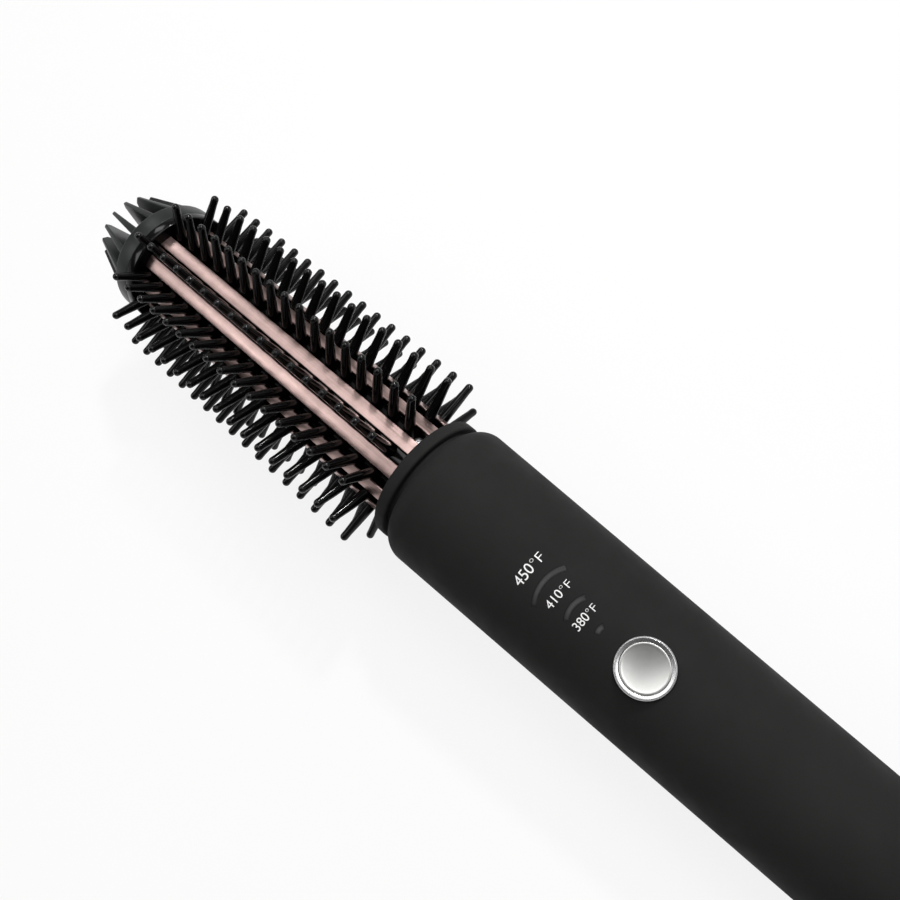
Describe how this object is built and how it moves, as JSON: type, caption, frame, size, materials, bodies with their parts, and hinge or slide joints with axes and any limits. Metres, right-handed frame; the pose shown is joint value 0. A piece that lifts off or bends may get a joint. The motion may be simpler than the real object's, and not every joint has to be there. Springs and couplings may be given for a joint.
{
  "type": "heated round hair styling brush",
  "caption": "Corded heated round brush: ribbed barrel with bristle rows, finned cool tip, tapered handle with one sprung button, temperature windows and a turning cord gland.",
  "frame": {"origin": "on the brush's long axis, at half its overall length", "axes": "+X along the axis towards the cool tip, +Z out of the button, +Y completes a right-handed frame"},
  "size_m": [0.3036, 0.0506, 0.0506],
  "materials": {
    "rose_gold_barrel": "ceramic-coated rose gold, fine brushed",
    "bristle_black": "glossy black nylon",
    "gloss_black": "glossy black",
    "tip_grey": "satin dark grey moulding",
    "soft_black": "matte soft-touch black",
    "gland_black": "moulded black",
    "bright_silver": "bright bevelled ring",
    "satin_silver": "satin dished cap",
    "smoked_lens": "smoked window, unlit",
    "inner_black": "moulded black",
    "inner_grey": "moulded grey",
    "led_white": "small light",
    "board_green": "circuit board",
    "zinc_steel": "zinc plated",
    "capacitor_yellow": "boxed capacitor",
    "plain_aluminium": "extruded",
    "heater_film": "amber insulating film",
    "sensor_sleeve": "white glass-fibre sleeve",
    "wire_red": "silicone insulation",
    "contact_brass": "bare"
  },
  "bodies": {
    "root": {"barrel": "rose_gold_barrel", "end_ring": "gloss_black", "cool_tip": "tip_grey", "collar": "soft_black", "handle_sleeve": "soft_black", "tail_cap": "soft_black", "button_bezel": "bright_silver", "indicator_lens_high": "smoked_lens", "indicator_lens_mid": "smoked_lens", "indicator_lens_low": "smoked_lens", "light_shroud": "inner_black", "indicator_leds": "led_white", "switch_body": "inner_black", "chassis": "inner_grey", "contact_housing": "inner_grey", "circuit_board": "board_green", "board_screws": "zinc_steel", "chassis_screws": "zinc_steel", "collar_screws": "zinc_steel", "film_capacitor": "capacitor_yellow", "triac": "inner_black", "control_chip": "inner_black", "thermal_fuse": "zinc_steel", "heater_spreader_upper": "plain_aluminium", "heater_spreader_lower": "plain_aluminium", "heater_element": "heater_film", "temperature_sensor": "sensor_sleeve", "heater_wires": "wire_red", "contact_pins": "contact_brass", "bristle_strip_01": "bristle_black", "bristle_strip_02": "bristle_black", "bristle_strip_03": "bristle_black", "bristle_strip_04": "bristle_black", "bristle_strip_05": "bristle_black", "bristle_strip_06": "bristle_black", "bristle_strip_07": "bristle_black", "bristle_strip_08": "bristle_black", "bristle_strip_09": "bristle_black", "bristle_strip_10": "bristle_black", "bristle_strip_11": "bristle_black", "bristle_strip_12": "bristle_black"},
    "button": {"button_cap": "satin_silver", "switch_plunger": "inner_black"},
    "gland": {"swivel_gland": "gland_black", "slip_ring": "contact_brass"}
  },
  "joints": [
    {"name": "button_press", "type": "slide", "parent": "root", "child": "button", "axis": [0, 0, -1], "range_m": [0, 0.0006], "stiffness_N_per_m": 900},
    {"name": "cord_swivel", "type": "hinge", "parent": "root", "child": "gland", "pos_m": [-0.15177, 0, 0], "axis": [1, 0, 0], "continuous": true}
  ]
}
